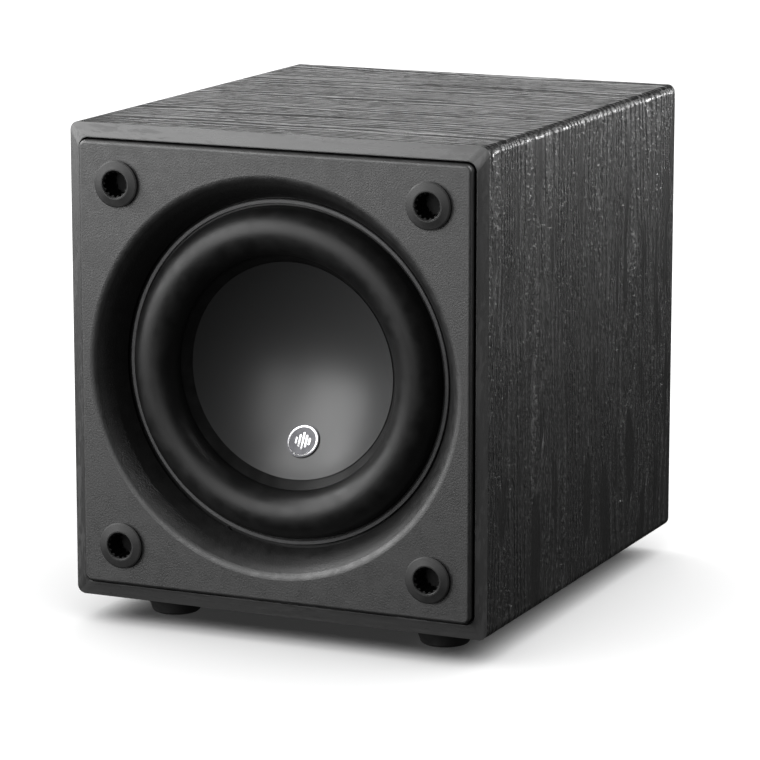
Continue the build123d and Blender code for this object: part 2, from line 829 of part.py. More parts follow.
sink_width = 150.0
sink_height = 68.0
sink_base = 3.0
fin_length = 8.0
fin_thickness = 2.0
fin_count = 19
fin_pitch = (sink_width - fin_thickness) / (fin_count - 1)
with BuildPart() as heat_sink:
    with BuildSketch(upright(cabinet_depth, *sink_place)):
        Rectangle(sink_width, sink_height)
    extrude(amount=-sink_base)
    with BuildSketch(upright(cabinet_depth + sink_base, *sink_place)):
        with GridLocations(fin_pitch, 1, fin_count, 1):
            Rectangle(fin_thickness, sink_height)
    extrude(amount=-fin_length)
save(heat_sink, "heat_sink")

with BuildPart() as circuit_board:
    with BuildSketch(upright(board_front)):
        RectangleRounded(board_width, board_height, 2.0)
    extrude(amount=-board_thickness)
save(circuit_board, "circuit_board")

ring_core = (38.0, 11.0, 34.0)  # outer and inner radius, height
with BuildPart() as transformer:
    with BuildSketch(upright(board_front)):
        with Locations((-34, -40)):
            Circle(ring_core[0])
            Circle(ring_core[1], mode=Mode.SUBTRACT)
    extrude(amount=ring_core[2])
    fillet(transformer.edges().filter_by(GeomType.CIRCLE), 7)
save(transformer, "transformer")

can_radius = 15.0
can_length = 42.0
with BuildPart() as capacitors:
    with BuildSketch(upright(board_front)):
        with Locations((34, -58), (34, -22), (66, -40)):
            Circle(can_radius)
    extrude(amount=can_length)
    fillet(capacitors.faces().sort_by(Axis.Y)[0:3].edges(), 1.2)
save(capacitors, "capacitors")

# ---------------------------------------------------------------- knobs on their potentiometers
pot_front = plate_front - 9.0
with BuildPart() as potentiometers:
    with BuildSketch(upright(plate_front)):
        with Locations(level_place, lowpass_place):
            Circle(8.0)
    extrude(amount=9)
    with BuildSketch(upright(plate_front)):
        with Locations(level_place, lowpass_place):
            Circle(3.6)
    extrude(amount=-(amp_thickness + 2))
    with BuildSketch(upright(pot_front + 1)):
        with Locations(level_place, lowpass_place):
            Circle(shaft_radius + running_gap)
    extrude(amount=-20, mode=Mode.SUBTRACT)
save(potentiometers, "potentiometers")

knob_front = cabinet_depth + knob_gap
knob_back = knob_front + knob_length
shaft_end = knob_back - 2.5
for label, place in (("level", level_place), ("lowpass", lowpass_place)):
    with BuildPart() as shaft:
        with BuildSketch(upright(pot_front + 1.5, *place)):
            Circle(shaft_radius)
        extrude(amount=-(shaft_end - pot_front - 1.5))
    save(shaft, f"{label}_shaft")

    with BuildPart() as knob:
        with BuildSketch(upright(knob_front, *place)):
            Circle(knob_radius)
            with PolarLocations(knob_radius + 0.5, 20):
                Circle(0.95, mode=Mode.SUBTRACT)
        extrude(amount=-knob_length)
        with BuildSketch(upright(knob_back - 1.0, *place)):
            Circle(knob_radius + 1)
            Circle(knob_radius - 0.9, mode=Mode.SUBTRACT)
        extrude(amount=-2, mode=Mode.SUBTRACT)
        with BuildSketch(upright(knob_back, *place)):
            with Locations((0, 4.2)):
                Rectangle(1.1, 6.4)
        extrude(amount=0.7, mode=Mode.SUBTRACT)
        with BuildSketch(upright(knob_front, *place)):
            Circle(4.4)
        extrude(amount=-2.5, mode=Mode.SUBTRACT)
        with BuildSketch(upright(knob_front, *place)):
            Circle(shaft_radius)
        extrude(amount=-(shaft_end - knob_front), mode=Mode.SUBTRACT)
    save(knob, f"{label}_knob")

# ---------------------------------------------------------------- slide switches
pocket_front = plate_front - 4.5
with BuildPart() as switch_bodies:
    with BuildSketch(upright(plate_front)):
        with Locations(*switch_places.values()):
            Rectangle(15, 9)
    extrude(amount=6)
    with BuildSketch(upright(plate_front)):
        with Locations(*switch_places.values()):
            Rectangle(9.8, 5.6)
    extrude(amount=4.5, mode=Mode.SUBTRACT)
save(switch_bodies, "switch_bodies")

# The two-way switches rest at one end of their slot and the three-way one in the middle.
slider_starts = {"filter_switch": -1, "polarity_switch": -1, "power_mode_switch": 0}
for label, place in switch_places.items():
    middle = (place[0] + slider_starts[label] * switch_travel / 2, place[1])
    with BuildPart() as slider:
        with BuildSketch(upright(pocket_front + 1.8, *middle)):
            Rectangle(5, 5)
        extrude(amount=-1.6)
        with BuildSketch(upright(pocket_front + 3.4, *middle)):
            Rectangle(3, 3)
        extrude(amount=-(cabinet_depth + 3.2 - pocket_front - 3.4))
        with BuildSketch(upright(cabinet_depth + 3.2, *middle)):
            with GridLocations(1.0, 1, 2, 1):
                Rectangle(0.4, 3)
        extrude(amount=0.5, mode=Mode.SUBTRACT)
    save(slider, label)

# ---------------------------------------------------------------- power rocker, tilted to its on side at rest
rocker_x, rocker_height = rocker_place
rocker_cavity = (10.8, 17.8)
rocker_width = 10.4
rocker_tilt = 12.0
rocker_front = 343.5
wall = 2.0
pivot_depth = cabinet_depth - 4.2
pivot_radius = 1.2
with BuildPart() as rocker_housing:
    with BuildSketch(upright(rocker_front, *rocker_place)):
        Rectangle(*rocker_body)
    extrude(amount=-(cabinet_depth - rocker_front))
    with BuildSketch(upright(cabinet_depth, *rocker_place)):
        RectangleRounded(15.4, 22.6, 1.2)
    extrude(amount=-wall)
    with BuildSketch(upright(rocker_front + wall, *rocker_place)):
        Rectangle(*rocker_cavity)
    extrude(amount=-20, mode=Mode.SUBTRACT)
    with BuildSketch(Plane.YZ.offset(rocker_x - 10)):
        with Locations((front_edge_y + pivot_depth, axis_z + rocker_height)):
            Circle(pivot_radius + running_gap)
    extrude(amount=20, mode=Mode.SUBTRACT)
save(rocker_housing, "rocker_housing")

end_radius = 8.7
rocker_plane = Plane(
    origin=(rocker_x, front_edge_y + pivot_depth, axis_z + rocker_height),
    x_dir=(0, sin(radians(rocker_tilt)), cos(radians(rocker_tilt))),
    z_dir=(-1, 0, 0),
)
top_corner = (sqrt(end_radius**2 - 5.6**2), 5.6)
low_corner = (sqrt(end_radius**2 - 1.3**2), -1.3)
with BuildPart() as power_rocker:
    with BuildSketch(rocker_plane):
        with BuildLine():
            Polyline(top_corner, (0, 4.3), (-top_corner[0], top_corner[1]))
            RadiusArc((-top_corner[0], top_corner[1]), (-low_corner[0], low_corner[1]), -end_radius)
            Polyline(
                (-low_corner[0], low_corner[1]),
                (-3, -3.6),
                (3, -3.6),
                low_corner,
            )
            RadiusArc(low_corner, top_corner, -end_radius)
        make_face()
    extrude(amount=rocker_width / 2, both=True)
    with BuildSketch(rocker_plane):
        Circle(pivot_radius)
    extrude(amount=6.0, both=True)
save(power_rocker, "power_rocker")

# ---------------------------------------------------------------- mains inlet
inlet_front = 334.5
inlet_flange = 3.0
inlet_floor = cabinet_depth + inlet_flange - 17
blade_places = [(-7, -1.5), (0, 2.5), (7, -1.5)]
blade = (2, 4)
with BuildPart() as mains_inlet:
    with BuildSketch(upright(inlet_front, *inlet_place)):
        Rectangle(*inlet_body)
    extrude(amount=-(cabinet_depth - inlet_front))
    with BuildSketch(upright(cabinet_depth, *inlet_place)):
        RectangleRounded(50, 26, 4)
        with GridLocations(40, 1, 2, 1):
            Circle(1.7, mode=Mode.SUBTRACT)
    extrude(amount=-inlet_flange)
    with BuildSketch(upright(inlet_floor, *inlet_place)):
        with BuildLine():
            Polyline((-12, -8), (12, -8), (12, 4), (8, 8), (-8, 8), (-12, 4), close=True)
        make_face()
    extrude(amount=-20, mode=Mode.SUBTRACT)
    with BuildSketch(upright(inlet_floor, *inlet_place)):
        with Locations(*blade_places):
            Rectangle(*blade)
    extrude(amount=20, mode=Mode.SUBTRACT)
save(mains_inlet, "mains_inlet")

with BuildPart() as inlet_pins:
    with BuildSketch(upright(board_back, *inlet_place)):
        with Locations(*blade_places):
            Rectangle(*blade)
    extrude(amount=-(cabinet_depth + 1 - board_back))
    chamfer(inlet_pins.faces().filter_by(Axis.Y).group_by(Axis.Y)[-1].edges(), 0.5)
save(inlet_pins, "inlet_pins")

# ---------------------------------------------------------------- line inputs and the status light
barrel_radius = 4.15
barrel_length = 7.5
core_radius = 3.0
jack_inner_end = 343.0
washer_back = cabinet_depth + 1.0
collar_back = washer_back + 2.0
barrel_back = collar_back + barrel_length
with BuildPart() as rca_jacks:
    with BuildSketch(upright(washer_back)):
        with Locations(*jack_places):
            RegularPolygon(6.0, 6)
            Circle(core_radius, mode=Mode.SUBTRACT)
    extrude(amount=-2)
    with BuildSketch(upright(collar_back)):
        with Locations(*jack_places):
            Circle(barrel_radius)
            Circle(core_radius, mode=Mode.SUBTRACT)
    extrude(amount=-barrel_length)
save(rca_jacks, "rca_jacks")

with BuildPart() as rca_insulators:
    with BuildSketch(upright(cabinet_depth)):
        with Locations(*jack_places):
            Circle(6.8)
    extrude(amount=-1)
    with BuildSketch(upright(jack_inner_end)):
        with Locations(*jack_places):
            Circle(4.6)
    extrude(amount=-(cabinet_depth - jack_inner_end))
    with BuildSketch(upright(washer_back)):
        with Locations(*jack_places):
            Circle(core_radius)
    extrude(amount=-(barrel_back - 0.5 - washer_back))
    with BuildSketch(upright(barrel_back)):
        with Locations(*jack_places):
            Circle(1.6)
    extrude(amount=12, mode=Mode.SUBTRACT)
save(rca_insulators, "rca_insulators")

led_radius = 1.6
led_front = 349.0
with BuildPart() as status_led:
    with BuildSketch(upright(led_front, *led_place)):
        Circle(2.4)
    extrude(amount=-(plate_front - led_front))
    with BuildSketch(upright(plate_front, *led_place)):
        Circle(led_radius)
    extrude(amount=-(amp_thickness + 1.2))
    fillet(status_led.faces().sort_by(Axis.Y)[-1].edges(), 1.0)
save(status_led, "status_led")

# ---------------------------------------------------------------- speaker leads, resting in the brace's window
lead_radius = 1.3
window_bottom = -brace_window_height / 2 + lead_radius
lead_routes = [
    [
        (side * 6.0, block_back, -85.0),
        (side * 6.0, 112.0, -85.0),
        (side * 4.4, 142.0, -91.5),
        (side * 3.2, 173.0, -101.0),
        (side * 2.6, 203.0, window_bottom + 0.4),
        (side * 2.8, 234.0, window_bottom + 1.6),
        (side * 3.6, 265.0, -101.5),
        (side * 4.6, 298.0, -95.0),
        (side * 4.6, board_front, -95.0),
    ]
    for side in (-1, 1)
]
lead_tubes = [cable(route, lead_radius) for route in lead_routes]
with BuildPart() as speaker_leads:
    for tube in lead_tubes:
        add(tube)
save(speaker_leads, "speaker_leads")

# ---------------------------------------------------------------- damping pads on the side walls
pad_thickness = 21.0
pad_height = 240.0
pad_gap = 0.5
with BuildPart() as damping_pads:
    for front, back in ((42.0, brace_depth - 3), (brace_depth + brace_thickness + 3, 332.0)):
        with BuildSketch(upright(front)):
            with GridLocations(inner_width - pad_thickness - 2 * pad_gap, 1, 2, 1):
                Rectangle(pad_thickness, pad_height)
        extrude(amount=-(back - front))
save(damping_pads, "damping_pads")
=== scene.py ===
"""Looks for a compact powered subwoofer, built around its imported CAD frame.

Metres, +Z up, the front looks along -Y. The origin is on the floor under the middle of the object.
"""

from math import asin, cos, pi, radians, sin, sqrt

import bmesh
import bpy
import numpy as np
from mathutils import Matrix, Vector, noise


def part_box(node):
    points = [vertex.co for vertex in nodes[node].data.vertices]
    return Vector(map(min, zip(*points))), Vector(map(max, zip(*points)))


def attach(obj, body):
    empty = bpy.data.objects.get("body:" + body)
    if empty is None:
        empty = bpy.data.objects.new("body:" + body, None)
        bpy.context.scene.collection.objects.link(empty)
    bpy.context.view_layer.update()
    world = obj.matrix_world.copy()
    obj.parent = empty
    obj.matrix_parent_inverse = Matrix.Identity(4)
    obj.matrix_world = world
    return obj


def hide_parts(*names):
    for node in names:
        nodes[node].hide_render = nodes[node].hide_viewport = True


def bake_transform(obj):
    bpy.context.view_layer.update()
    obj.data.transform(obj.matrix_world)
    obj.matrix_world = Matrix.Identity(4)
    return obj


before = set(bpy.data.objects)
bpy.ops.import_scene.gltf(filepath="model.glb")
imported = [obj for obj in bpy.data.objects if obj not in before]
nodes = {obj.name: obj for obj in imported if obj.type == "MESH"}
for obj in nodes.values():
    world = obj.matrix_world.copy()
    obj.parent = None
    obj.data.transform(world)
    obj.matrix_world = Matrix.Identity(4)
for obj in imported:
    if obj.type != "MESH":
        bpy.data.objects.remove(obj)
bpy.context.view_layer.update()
scene = bpy.context.scene

MM = 0.001

# ---------------------------------------------------------------- places read from the frame
cone_low, cone_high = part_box("cone")
axis_x = (cone_low.x + cone_high.x) / 2
axis_z = (cone_low.z + cone_high.z) / 2
band_rise = 2.5 * MM
front_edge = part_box("top_panel")[0].y + band_rise


def at(depth, x=0.0, height=0.0):
    """A point this far behind the cabinet's front edge, from the driver's axis. In millimetres."""
    return Vector((axis_x + x * MM, front_edge + depth * MM, axis_z + height * MM))


# ---------------------------------------------------------------- finishes
class Finish:
    """One node material. Each method adds nodes and gives back the socket that the next one reads."""

    def __init__(self, name):
        self.material = bpy.data.materials.new(name)
        self.material.use_nodes = True
        self.tree = self.material.node_tree
        self.shader = self.tree.nodes["Principled BSDF"]
        self.place = self.add("ShaderNodeTexCoord").outputs["Object"]

    def add(self, kind, **settings):
        node = self.tree.nodes.new(kind)
        for setting, value in settings.items():
            setattr(node, setting, value)
        return node

    def feed(self, socket, value):
        if isinstance(value, bpy.types.NodeSocket):
            self.tree.links.new(value, socket)
        else:
            socket.default_value = value

    def set(self, **values):
        """Principled inputs, such as base_color or coat_weight."""
        for name, value in values.items():
            self.feed(self.shader.inputs[name.replace("_", " ").title().replace("Ior", "IOR")], value)
        return self

    def maths(self, operation, first, second=0.0):
        node = self.add("ShaderNodeMath", operation=operation)
        self.feed(node.inputs[0], first)
        self.feed(node.inputs[1], second)
        return node.outputs[0]

    def times(self, first, second):
        return self.maths("MULTIPLY", first, second)

    def plus(self, first, second):
        return self.maths("ADD", first, second)

    def minus(self, first, second):
        return self.maths("SUBTRACT", first, second)

    def axes(self, vector=None):
        """The x, y and z sockets of a vector."""
        node = self.add("ShaderNodeSeparateXYZ")
        self.feed(node.inputs[0], vector or self.place)
        return node.outputs

    def vector(self, x, y, z):
        node = self.add("ShaderNodeCombineXYZ")
        for socket, value in zip(node.inputs, (x, y, z)):
            self.feed(socket, value)
        return node.outputs[0]

    def noise(self, size, detail=2.0, roughness=0.5, stretch=(1, 1, 1), shift=0.0, vector=None):
        """Noise from 0 to 1 whose blobs are about this size in metres, times stretch along x, y and z."""
        scaled = self.add("ShaderNodeMapping")
        self.feed(scaled.inputs["Vector"], vector or self.place)
        scaled.inputs["Scale"].default_value = [1 / (size * s) for s in stretch]
        scaled.inputs["Location"].default_value = (shift, shift * 1.7, shift * 2.3)
        node = self.add("ShaderNodeTexNoise")
        self.feed(node.inputs["Vector"], scaled.outputs[0])
        node.inputs["Scale"].default_value = 1.0
        node.inputs["Detail"].default_value = detail
        node.inputs["Roughness"].default_value = roughness
        return node.outputs["Factor"] if "Factor" in node.outputs else node.outputs["Fac"]

    def fit(self, value, low, high, to_low=0.0, to_high=1.0):
        """Maps low..high smoothly to to_low..to_high, and holds the ends."""
        node = self.add("ShaderNodeMapRange", interpolation_type="SMOOTHSTEP")
        for socket, number in zip(node.inputs, (value, low, high, to_low, to_high)):
            self.feed(socket, number)
        return node.outputs[0]

    def mix(self, share, first, second):
        """Colours. A number stands for that grey."""
        node = self.add("ShaderNodeMix", data_type="RGBA")
        self.feed(node.inputs["Factor"], share)
        for socket, value in ((node.inputs[6], first), (node.inputs[7], second)):
            if isinstance(value, (int, float)):
                value = (value, value, value, 1)
            self.feed(socket, value)
        return node.outputs[2]

    def bump(self, height, depth):
        """A relief whose height of 1 stands for this depth in metres."""
        node = self.add("ShaderNodeBump")
        node.inputs["Strength"].default_value = 1.0
        node.inputs["Distance"].default_value = depth
        self.feed(node.inputs["Height"], height)
        return node.outputs[0]


def grey(value, tint=0.0):
    """A linear grey, slightly cool for a positive tint and warm for a negative one."""
    return (value * (1 - tint), value, value * (1 + tint), 1)


def shades(colour, darker, lighter):
    """A darker and a lighter shade of a colour, as two opaque colours."""
    return tuple(c * darker for c in colour) + (1,), tuple(min(1.0, c * lighter) for c in colour) + (1,)


def veneer(name, along, shift, tone, shaded_edge_paint, tongue_size, tongue_length, glint_paint_and_relief):
    """Open-grained ash under a thin black stain and satin lacquer, with its growth lines along x or z.

    The lines are the level curves of a slope across the panel plus soft noise that is long along the grain.
    Dark tongues of smooth wood lie between them. The front and back edges of a panel are filled and painted.
    Along the rounding of the upper and lower edges a dark line of painted shade, with little specular, stands
    in for the dark reflection there. tone is the wood's grey, and shaded_edge_paint is the grey of the
    painted edges, which differs from side to side as painted light and shade. glint_paint_and_relief is how
    strongly lighter flecks, painted highlights for the lacquer's glint, show in the grain's colour, and how
    much relief they raise.
    """
    finish = Finish(name)
    times, plus, minus, fit, mix = finish.times, finish.plus, finish.minus, finish.fit, finish.mix

    def long_noise(size, length, detail=2.0, roughness=0.5, more=0.0):
        stretch = tuple(length if axis == along else 1.0 for axis in "xyz")
        return finish.noise(size, detail, roughness, stretch, shift + more)

    # growth lines
    sway = times(long_noise(0.050, 8.0, 1.0, 0.4), 8.0)
    rag = times(long_noise(0.010, 5.0, 2.0, 0.55, 3), 0.50)
    across = finish.maths("DIVIDE", finish.axes()[1], line_pitch)
    wave = finish.maths("SINE", times(plus(plus(across, sway), rag), 2 * pi))
    patch = fit(long_noise(0.016, 3.0, 1.0, 0.5, 7), 0.35, 0.60, 0.45, 1.0)

    # smooth dark tongues with a lighter border
    islands = long_noise(tongue_size, tongue_length, 0.5, 0.5, 29)
    tongue = fit(islands, 0.57, 0.66)
    border = times(fit(islands, 0.50, 0.59), minus(1.0, tongue))
    grain = times(patch, minus(1.0, times(tongue, 0.85)))
    ridge = times(fit(wave, 0.0, 0.9), grain)
    groove = times(fit(wave, 0.0, -0.9), grain)

    # pores, fibres and painted highlights: lighter flecks in the colour stand in for the lacquer's glint, and
    # raise a little relief
    dashes = long_noise(0.0022, 4.0, 2.0, 0.6, 11)
    pores = times(fit(plus(dashes, times(groove, 0.15)), 0.54, 0.66), grain)
    fibre = long_noise(0.0030, 12.0, 3.0, 0.65, 17)
    # flecks is the noise that the painted highlights are drawn from
    flecks = plus(long_noise(0.0030, 1.3, 1.0, 0.5, 23), times(ridge, 0.12))
    painted_glints = times(fit(flecks, 0.55, 0.68), grain)

    # which way the surface faces
    normal = finish.axes(finish.add("ShaderNodeNewGeometry").outputs["Normal"])
    open_grain = fit(finish.maths("ABSOLUTE", normal[1]), 0.85, 0.35)
    upright = finish.maths("ABSOLUTE", normal[2])
    # painted shade: along the rounded upper and lower edges the colour is darkened and the specular lowered,
    # standing in for the dark reflection there
    crease = times(fit(upright, 0.50, 0.75), fit(upright, 0.995, 0.96))

    wood = mix(fibre, tone * 0.85, tone * 1.10)
    layers = (
        (groove, 0.7, 0.45),
        (ridge, 0.6, 1.6),
        (border, 0.4, 1.4),
        (tongue, 0.8, 0.60),
        (painted_glints, 0.6 * glint_paint_and_relief, 3.0),
        (pores, 0.7, 0.3),
    )
    for mask, share, shade in layers:
        wood = mix(times(mask, share), wood, tone * shade)
    # The filled, painted front and back edges take their side's own grey, which carries painted light and
    # shade
    surface = mix(open_grain, mix(fibre, shaded_edge_paint * 0.95, shaded_edge_paint * 1.05), wood)
    heights = ((fibre, 0.12), (groove, -0.6), (pores, -0.4), (painted_glints, 0.25 * glint_paint_and_relief))
    relief = times(ridge, 1.2)
    for mask, height in heights:
        relief = plus(relief, times(mask, height))
    relief = times(relief, plus(times(open_grain, 0.97), 0.03))
    # The base colour carries painted shade on the rounded edges and painted highlights in the grain, besides
    # the wood's own grain
    finish.set(
        base_color=mix(times(crease, 0.85), surface, tone * 0.25),
        roughness=fit(plus(pores, fibre), 0.3, 1.5, 0.27, 0.45),
        specular_ior_level=fit(crease, 0.0, 1.0, 0.62, 0.16),
        normal=finish.bump(relief, 0.0011),
    )
    return finish.material


def board(name, colour, smoothest):
    """Fibreboard: pressed fibres in short random flecks. smoothest is its lowest roughness."""
    finish = Finish(name)
    fleck = finish.noise(0.0016, 4.0, 0.65)
    cloud = finish.noise(0.03, 2.0)
    finish.set(
        base_color=finish.mix(finish.times(fleck, cloud), *shades(colour, 0.72, 1.18)),
        roughness=finish.fit(fleck, 0.3, 0.7, smoothest, 0.85),
        normal=finish.bump(fleck, 0.0001),
    )
    return finish.material


def moulding(name, tone, roughness, grain, relief, specular=0.5, patchy=1.0):
    """A moulded, cast or painted surface with a fine random grain of this size and relief in metres."""
    finish = Finish(name)
    pebble = finish.noise(grain, 2.0, 0.55)
    cloud = finish.noise(0.045, 2.0, 0.5, shift=5)
    blotch = finish.noise(grain * 6, 2.0, 0.5, shift=9)
    shade = finish.plus(finish.times(pebble, 0.5), finish.times(cloud, 0.5))
    dark = grey(tone * (1 - 0.18 * patchy), 0.01)
    light = grey(tone * (1 + 0.15 * patchy), 0.01)
    finish.set(
        base_color=finish.mix(finish.fit(shade, 0.35, 0.65), dark, light),
        roughness=finish.fit(blotch, 0.3, 0.7, roughness - 0.05 * patchy, roughness + 0.06 * patchy),
        specular_ior_level=specular,
        normal=finish.bump(pebble, relief),
    )
    return finish.material


def baffle_moulding(name, tone, roughness):
    """The baffle's pebbled plastic. Deeper in the driver's hollow its colour is painted darker, a painted
    shade, and its specular is lower.
    """
    finish = Finish(name)
    pebble = finish.noise(0.0012, 2.0, 0.55)
    cloud = finish.noise(0.045, 2.0, 0.5, shift=5)
    blotch = finish.noise(0.0072, 2.0, 0.5, shift=9)
    # painted shade: towards the back of the driver's hollow the colour is painted darker and the specular
    # lowered
    painted_recess_shade = finish.fit(finish.axes()[1], front_edge - 6 * MM, front_edge + 3 * MM)
    shade = finish.mix(cloud, tone * 0.9, tone * 1.1)
    finish.set(
        base_color=finish.mix(painted_recess_shade, shade, tone * 0.5),
        roughness=finish.fit(blotch, 0.3, 0.7, roughness - 0.05, roughness + 0.06),
        specular_ior_level=finish.fit(painted_recess_shade, 0.0, 1.0, 0.80, 0.42),
        normal=finish.bump(pebble, 0.00016),
    )
    return finish.material


def turned(name, colour, roughness, metallic=1.0, centre=(0.0, 0.0)):
    """A lathe-turned or spun part: fine rings round the line parallel to Y through centre (x, z)."""
    finish = Finish(name)
    x, _, z = finish.axes()
    dx = finish.minus(x, centre[0])
    dz = finish.minus(z, centre[1])
    radius = finish.maths("SQRT", finish.plus(finish.times(dx, dx), finish.times(dz, dz)))
    rings = finish.noise(0.00035, 2.0, 0.6, vector=finish.vector(radius, 0.0, 0.0))
    smear = finish.noise(0.004, 3.0, 0.6)
    finish.set(
        base_color=finish.mix(finish.fit(smear, 0.3, 0.7), *shades(colour, 0.8, 1.12)),
        roughness=finish.fit(rings, 0.25, 0.75, roughness - 0.06, roughness + 0.10),
        metallic=metallic,
        normal=finish.bump(rings, 0.00002),
    )
    return finish.material


def cast_rubber(name, tone, roughness, specular=0.5):
    """Soft rubber: a fine skin and a little bloom."""
    finish = Finish(name)
    skin = finish.noise(0.0005, 2.0, 0.5)
    bloom = finish.noise(0.012, 3.0, 0.6, shift=4)
    finish.set(
        base_color=finish.mix(finish.fit(bloom, 0.35, 0.7), grey(tone * 0.85), grey(tone * 1.25)),
        roughness=finish.fit(bloom, 0.3, 0.7, roughness - 0.04, roughness + 0.07),
        specular_ior_level=specular,
        normal=finish.bump(skin, 0.00002),
    )
    return finish.material


def woven(name, light, dark, pitch, roughness=0.75):
    """A plain weave in the plane that faces the front."""
    finish = Finish(name)
    x, _, z = finish.axes()
    warp = finish.maths("SINE", finish.times(x, 2 * pi / pitch))
    weft = finish.maths("SINE", finish.times(z, 2 * pi / pitch))
    soak = finish.noise(0.008, 3.0, 0.6)
    thread = finish.fit(finish.times(warp, weft), -0.8, 0.8)
    finish.set(
        base_color=finish.mix(finish.times(thread, soak), dark + (1,), light + (1,)),
        roughness=finish.fit(thread, 0.0, 1.0, roughness - 0.1, roughness + 0.1),
        normal=finish.bump(thread, 0.00012),
    )
    return finish.material


def plain(name, colour, roughness, metallic=0.0, grain=0.0006, relief=0.00002, **more):
    """A coloured moulding or metal with a fine grain and slight unevenness."""
    finish = Finish(name)
    fine = finish.noise(grain, 3.0, 0.6)
    cloud = finish.noise(0.01, 2.0, 0.5, shift=2)
    finish.set(
        base_color=finish.mix(finish.fit(cloud, 0.3, 0.7), *shades(colour, 0.8, 1.15)),
        roughness=finish.fit(fine, 0.3, 0.7, max(0.05, roughness - 0.06), roughness + 0.08),
        metallic=metallic,
        normal=finish.bump(fine, relief),
        **more,
    )
    return finish.material


def insulators():
    """One red and one white ring: the right channel's is the outer one."""
    finish = Finish("rca_insulator_red_and_white")
    x, _, _ = finish.axes()
    low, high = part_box("rca_jacks")
    outer = finish.maths("LESS_THAN", x, (low.x + high.x) / 2)
    fine = finish.noise(0.0005, 2.0)
    colour = finish.mix(outer, (0.72, 0.71, 0.68, 1), (0.55, 0.02, 0.015, 1))
    finish.set(base_color=finish.mix(finish.fit(fine, 0.2, 0.8, 0.0, 0.18), colour, 0.1), roughness=0.35)
    finish.set(normal=finish.bump(fine, 0.00001))
    return finish.material


def circuit():
    """Green solder mask over copper tracks in straight runs."""
    finish = Finish("circuit_board")
    x, _, z = finish.axes()
    grid = finish.vector(finish.maths("SNAP", x, 0.0025), 0.0, finish.maths("SNAP", z, 0.009))
    track = finish.fit(finish.noise(0.004, 0.0, 0.5, vector=grid), 0.5, 0.56)
    finish.set(
        base_color=finish.mix(track, (0.008, 0.06, 0.025, 1), (0.03, 0.16, 0.06, 1)),
        roughness=0.3,
        normal=finish.bump(track, 0.00003),
    )
    return finish.material


def wadding_finish():
    """Polyester wadding: loose white fibres."""
    finish = Finish("wadding")
    fibres = finish.noise(0.0011, 4.0, 0.7, (1.0, 5.0, 1.0))
    tufts = finish.noise(0.012, 3.0, 0.6)
    finish.set(
        base_color=finish.mix(finish.times(fibres, tufts), grey(0.45, -0.03), grey(0.85, -0.02)),
        roughness=0.95,
        sheen_weight=0.4,
        normal=finish.bump(fibres, 0.0012),
    )
    return finish.material


line_pitch = 8.0 * MM
streaks = {"tongue_size": 0.0085, "tongue_length": 24.0, "glint_paint_and_relief": 0.25}
tongues = {"tongue_size": 0.015, "tongue_length": 5.0}
finishes = {
    # The fifth value is the grey of the one paint round the front, painted lighter or darker side by side:
    # painted light and shade, darkest on top and lightest at the bottom. The glint value sets the painted
    # highlights in the grain, strongest on the right side.
    "top_panel": veneer("ash_veneer_top", "x", 2.0, 0.032, 0.019, **streaks),
    "bottom_panel": veneer("ash_veneer_bottom", "x", 31.0, 0.034, 0.044, **streaks),
    "left_side_panel": veneer("ash_veneer_left", "z", 47.0, 0.020, 0.029, **tongues, glint_paint_and_relief=0.3),
    "right_side_panel": veneer("ash_veneer_right", "z", 64.0, 0.027, 0.037, **tongues, glint_paint_and_relief=1.0),
}
painted_board = board("painted_board", (0.022, 0.022, 0.023), 0.6)
raw_board = board("raw_board", (0.42, 0.30, 0.19), 0.7)
baffle_finish = baffle_moulding("baffle_pebbled_black", 0.010, 0.50)
rubber = cast_rubber("rubber", 0.015, 0.52, specular=0.38)
surround_rubber = cast_rubber("surround_rubber", 0.005, 0.42, specular=0.32)
# The socket bores' lining is the sockets' rubber painted far darker and less shiny: painted shade deep in the
# bores
shaded_bore_rubber = cast_rubber("shaded_bore_rubber", 0.003, 0.45, specular=0.10)
foam = plain("foam_seal", (0.03, 0.03, 0.03), 0.9, grain=0.0009, relief=0.0003)
cone_finish = moulding("cone_satin_black", 0.023, 0.40, 0.0006, 0.000006, specular=0.56, patchy=0.1)
trim_finish = turned("trim_ring", (0.045, 0.045, 0.046), 0.45, 0.0, centre=(axis_x, axis_z))
badge_finish = turned("badge_dark", (0.06, 0.06, 0.065), 0.38, 0.7)
# The driver's frame is given a near-black grey: painted shade for the narrow gap round the trim ring, where
# it shows
cast_frame = moulding("cast_frame", 0.012, 0.60, 0.0009, 0.00010, specular=0.3)
steel_black = turned("motor_steel", (0.045, 0.045, 0.05), 0.45, 0.6, centre=(axis_x, axis_z))
ferrite = moulding("ferrite", 0.07, 0.62, 0.0012, 0.00010)
black_screw = plain("black_screw", (0.03, 0.03, 0.032), 0.42, 0.6)
zinc_screw = plain("zinc_screw", (0.62, 0.63, 0.65), 0.3, 1.0)
plate_finish = moulding("amp_plate", 0.030, 0.55, 0.0008, 0.00012)
sink_finish = plain("heat_sink", (0.035, 0.035, 0.038), 0.42, 0.7, grain=0.0004)
nickel = plain("plated_steel", (0.66, 0.66, 0.67), 0.25, 1.0)
gold = plain("jack_metal", (0.83, 0.62, 0.28), 0.25, 1.0)
control_plastic = moulding("control_plastic", 0.028, 0.45, 0.0005, 0.00003)
amber_film = plain("former_film", (0.45, 0.26, 0.07), 0.3)
copper = turned("copper_winding", (0.72, 0.33, 0.16), 0.3, 1.0)
board_plastic = moulding("board_plastic", 0.05, 0.5, 0.0006, 0.00003)
winding_tape = plain("winding_tape", (0.62, 0.45, 0.06), 0.4)
can_sleeve = plain("capacitor_sleeve", (0.02, 0.03, 0.07), 0.35)
